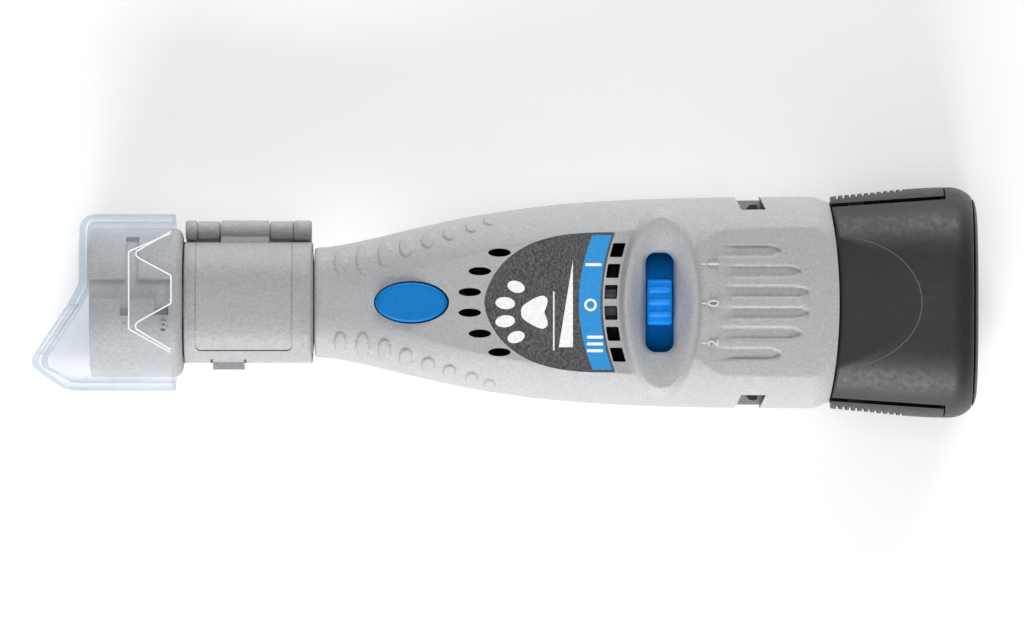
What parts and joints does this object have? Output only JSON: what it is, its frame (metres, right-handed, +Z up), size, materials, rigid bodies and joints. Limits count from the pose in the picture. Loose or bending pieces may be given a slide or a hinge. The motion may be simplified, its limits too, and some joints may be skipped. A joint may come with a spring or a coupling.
{
  "type": "pet nail trimmer",
  "caption": "Cordless rotary pet nail grinder with a hinged clip-on guard, a clear slide-on nail cover, a slide switch, a shaft lock button and a removable battery pack.",
  "frame": {"origin": "middle of the footprint on the surface the tool lies on; the spindle's axis is 18.5 mm above it", "axes": "+X along the spindle from the nail guard towards the battery pack, +Z up, the way the switch faces"},
  "size_m": [0.188, 0.046, 0.0386],
  "materials": {
    "housing": "fine moulded grain, satin",
    "housing_dark": "satin",
    "guard_grey": "smooth satin",
    "label": "fine speckled print under a satin film",
    "blue": "smooth, slightly glossy",
    "clear": "clear injection-moulded plastic",
    "battery_black": "fine moulded grain, satin",
    "steel": "turned and plated",
    "bronze": "bare metal",
    "rubber": "dull",
    "abrasive": "gritty sanding paper",
    "inner_black": "plain moulded",
    "magnet": "sintered",
    "lead_red": "insulated wire",
    "lead_black": "insulated wire",
    "cell_wrap": "shrink sleeve"
  },
  "bodies": {
    "tool_body": {"housing_front": "housing", "housing_back": "housing", "nose_cap": "housing_dark", "guard_body": "guard_grey", "label_plate": "label", "guard_hinge_pin": "guard_grey", "lock_spring": "steel", "housing_screw_1": "steel", "housing_screw_2": "steel", "housing_screw_3": "steel", "housing_screw_4": "steel", "motor_can": "steel", "front_bearing": "bronze", "rear_bearing": "bronze", "motor_brush_left": "bronze", "motor_brush_right": "bronze", "motor_tag_left": "bronze", "motor_tag_right": "bronze", "contact_spring_left": "bronze", "contact_spring_right": "bronze", "motor_end_cap": "inner_black", "switch_module": "inner_black", "contact_block": "inner_black", "motor_magnet_upper": "magnet", "motor_magnet_lower": "magnet", "lead_red": "lead_red", "lead_black": "lead_black"},
    "spindle": {"sanding_band": "abrasive", "drum_rubber": "rubber", "mandrel": "steel", "mandrel_screw": "steel", "collet": "steel", "collet_nut": "steel", "spindle": "steel", "lock_collar": "steel", "coupling": "rubber", "motor_shaft": "steel", "cooling_fan": "inner_black", "armature": "bronze", "commutator": "bronze"},
    "lock_button": {"lock_button": "blue"},
    "switch_slider": {"switch_slider": "blue"},
    "guard_door": {"guard_door": "guard_grey"},
    "clear_cover": {"clear_cover": "clear"},
    "battery_pack": {"battery_case": "battery_black", "battery_end_cap": "battery_black", "cell_1": "cell_wrap", "cell_2": "cell_wrap", "cell_3": "cell_wrap", "cell_4": "cell_wrap", "terminal_left": "bronze", "terminal_right": "bronze", "latch_pin_left": "steel", "latch_pin_right": "steel", "latch_spring_left": "steel", "latch_spring_right": "steel"},
    "latch_lever_left": {"latch_lever_left": "battery_black"},
    "latch_lever_right": {"latch_lever_right": "battery_black"}
  },
  "joints": [
    {"name": "spindle_spin", "type": "hinge", "parent": "tool_body", "child": "spindle", "pos_m": [0, 0, 0.0185], "axis": [1, 0, 0], "continuous": true},
    {"name": "lock_button_press", "type": "slide", "parent": "tool_body", "child": "lock_button", "axis": [0, 0, -1], "range_m": [0, 0.0016], "stiffness_N_per_m": 600, "deforming": ["lock_spring"]},
    {"name": "speed_switch", "type": "hinge", "parent": "tool_body", "child": "switch_slider", "pos_m": [0.0304, 0, 0.0185], "axis": [1, 0, 0], "range_deg": [-13, 13]},
    {"name": "guard_door_swing", "type": "hinge", "parent": "tool_body", "child": "guard_door", "pos_m": [-0.052, 0.0144, 0.0195], "axis": [-1, 0, 0], "range_deg": [0, 105]},
    {"name": "cover_slide", "type": "slide", "parent": "tool_body", "child": "clear_cover", "axis": [-1, 0, 0], "range_m": [0, 0.03]},
    {"name": "battery_slide", "type": "slide", "parent": "tool_body", "child": "battery_pack", "axis": [1, 0, 0], "range_m": [0, 0.05], "deforming": ["latch_lever_left", "latch_lever_right"]},
    {"name": "latch_left_squeeze", "type": "hinge", "parent": "battery_pack", "child": "latch_lever_left", "pos_m": [0.089, 0.0216, 0.0185], "axis": [0, 0, 1], "range_deg": [0, 1.6], "stiffness_Nm_per_rad": 1, "deforming": ["latch_spring_left"]},
    {"name": "latch_right_squeeze", "type": "hinge", "parent": "battery_pack", "child": "latch_lever_right", "pos_m": [0.089, -0.0216, 0.0185], "axis": [0, 0, -1], "range_deg": [0, 1.6], "stiffness_Nm_per_rad": 1, "deforming": ["latch_spring_right"]}
  ]
}
